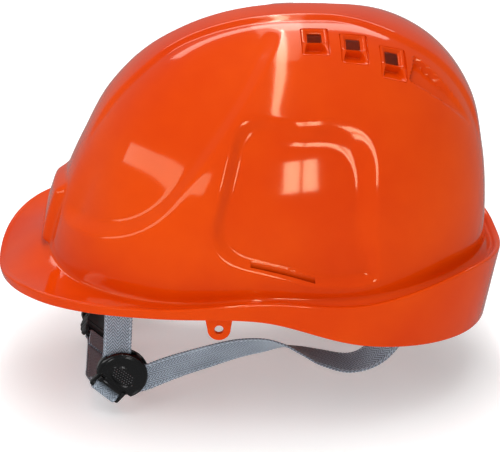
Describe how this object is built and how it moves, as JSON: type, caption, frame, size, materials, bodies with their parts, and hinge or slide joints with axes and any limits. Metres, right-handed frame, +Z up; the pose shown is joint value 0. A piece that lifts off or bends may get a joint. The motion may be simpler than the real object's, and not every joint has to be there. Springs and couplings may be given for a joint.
{
  "type": "forestry helmet",
  "caption": "Vented forestry safety helmet with peak, rear gutter, webbing cradle, ratchet headband and a four-strap chin harness with side-release buckle.",
  "frame": {"origin": "centre of the headband's opening, at the level of the shell's side rim", "axes": "-Y forwards over the peak, +X to the wearer's left, +Z up"},
  "size_m": [0.2164, 0.3, 0.2235],
  "materials": {
    "shell_plastic": "glossy injection-moulded orange",
    "harness_plastic": "satin black moulding",
    "ratchet_plastic": "satin black moulding",
    "divider_plastic": "semi-gloss black moulding",
    "buckle_plastic": "satin black moulding",
    "chin_webbing": "herringbone polyester webbing",
    "cradle_webbing": "plain-weave polyester webbing",
    "pad_cloth": "knitted cloth over foam",
    "screw_steel": "zinc plated"
  },
  "bodies": {
    "helmet": {"shell": "shell_plastic", "hanger_front_left": "harness_plastic", "hanger_front_right": "harness_plastic", "hanger_rear_left": "harness_plastic", "hanger_rear_right": "harness_plastic", "cradle_strap_left": "cradle_webbing", "cradle_strap_right": "cradle_webbing", "crown_patch": "cradle_webbing", "headband": "harness_plastic", "brow_sweatband": "pad_cloth", "nape_pad": "pad_cloth", "ratchet_base": "ratchet_plastic", "ratchet_cover": "ratchet_plastic", "front_strap_left": "chin_webbing", "front_strap_right": "chin_webbing", "rear_strap_left": "chin_webbing", "rear_strap_right": "chin_webbing", "divider_body_left": "divider_plastic", "divider_body_right": "divider_plastic", "chin_web_left": "chin_webbing", "chin_web_right": "chin_webbing", "buckle_socket": "buckle_plastic"},
    "band_end_left": {"rack_arm_left": "ratchet_plastic"},
    "band_end_right": {"rack_arm_right": "ratchet_plastic"},
    "ratchet": {"ratchet_pinion": "ratchet_plastic", "ratchet_click_spring": "ratchet_plastic", "ratchet_knob": "ratchet_plastic", "knob_screw": "screw_steel"},
    "lid_left": {"divider_lid_left": "divider_plastic"},
    "lid_right": {"divider_lid_right": "divider_plastic"},
    "plug": {"buckle_plug": "buckle_plastic"},
    "prong_rear": {"buckle_prong_rear": "buckle_plastic"},
    "prong_front": {"buckle_prong_front": "buckle_plastic"}
  },
  "joints": [
    {"name": "ratchet_turn", "type": "hinge", "parent": "helmet", "child": "ratchet", "pos_m": [0, 0.115, -0.022], "axis": [0, 1, 0], "range_deg": [-180, 180]},
    {"name": "band_end_left_slide", "type": "hinge", "parent": "helmet", "child": "band_end_left", "pos_m": [0, 0.018, -0.022], "axis": [0, 0, 1], "range_deg": [-11, 11]},
    {"name": "band_end_right_slide", "type": "hinge", "parent": "helmet", "child": "band_end_right", "pos_m": [0, 0.018, -0.022], "axis": [0, 0, 1], "range_deg": [-11, 11]},
    {"name": "lid_left_hinge", "type": "hinge", "parent": "helmet", "child": "lid_left", "pos_m": [0.0767, -0.08629, -0.06799], "axis": [0, 0.7431, -0.6691], "range_deg": [0, 100]},
    {"name": "lid_right_hinge", "type": "hinge", "parent": "helmet", "child": "lid_right", "pos_m": [-0.0767, -0.08629, -0.06799], "axis": [0, -0.7431, 0.6691], "range_deg": [0, 100]},
    {"name": "plug_slide", "type": "slide", "parent": "helmet", "child": "plug", "axis": [1, 0, 0], "range_m": [0, 0.018], "deforming": ["chin_web_left"]},
    {"name": "prong_rear_press", "type": "hinge", "parent": "plug", "child": "prong_rear", "pos_m": [-0.011, -0.08967, -0.08459], "axis": [0, 0.6691, 0.7431], "range_deg": [0, 12.5], "stiffness_Nm_per_rad": 0.02},
    {"name": "prong_front_press", "type": "hinge", "parent": "plug", "child": "prong_front", "pos_m": [-0.011, -0.10245, -0.07308], "axis": [0, -0.6691, -0.7431], "range_deg": [0, 12.5], "stiffness_Nm_per_rad": 0.02}
  ],
  "couplings": [
    {"joint": "band_end_left_slide", "follows": "ratchet_turn", "ratio": -0.060753},
    {"joint": "band_end_right_slide", "follows": "ratchet_turn", "ratio": 0.059172},
    {"joint": "prong_rear_press", "follows": "plug_slide", "rad_per_m": 11.6},
    {"joint": "prong_front_press", "follows": "plug_slide", "rad_per_m": 11.6}
  ]
}
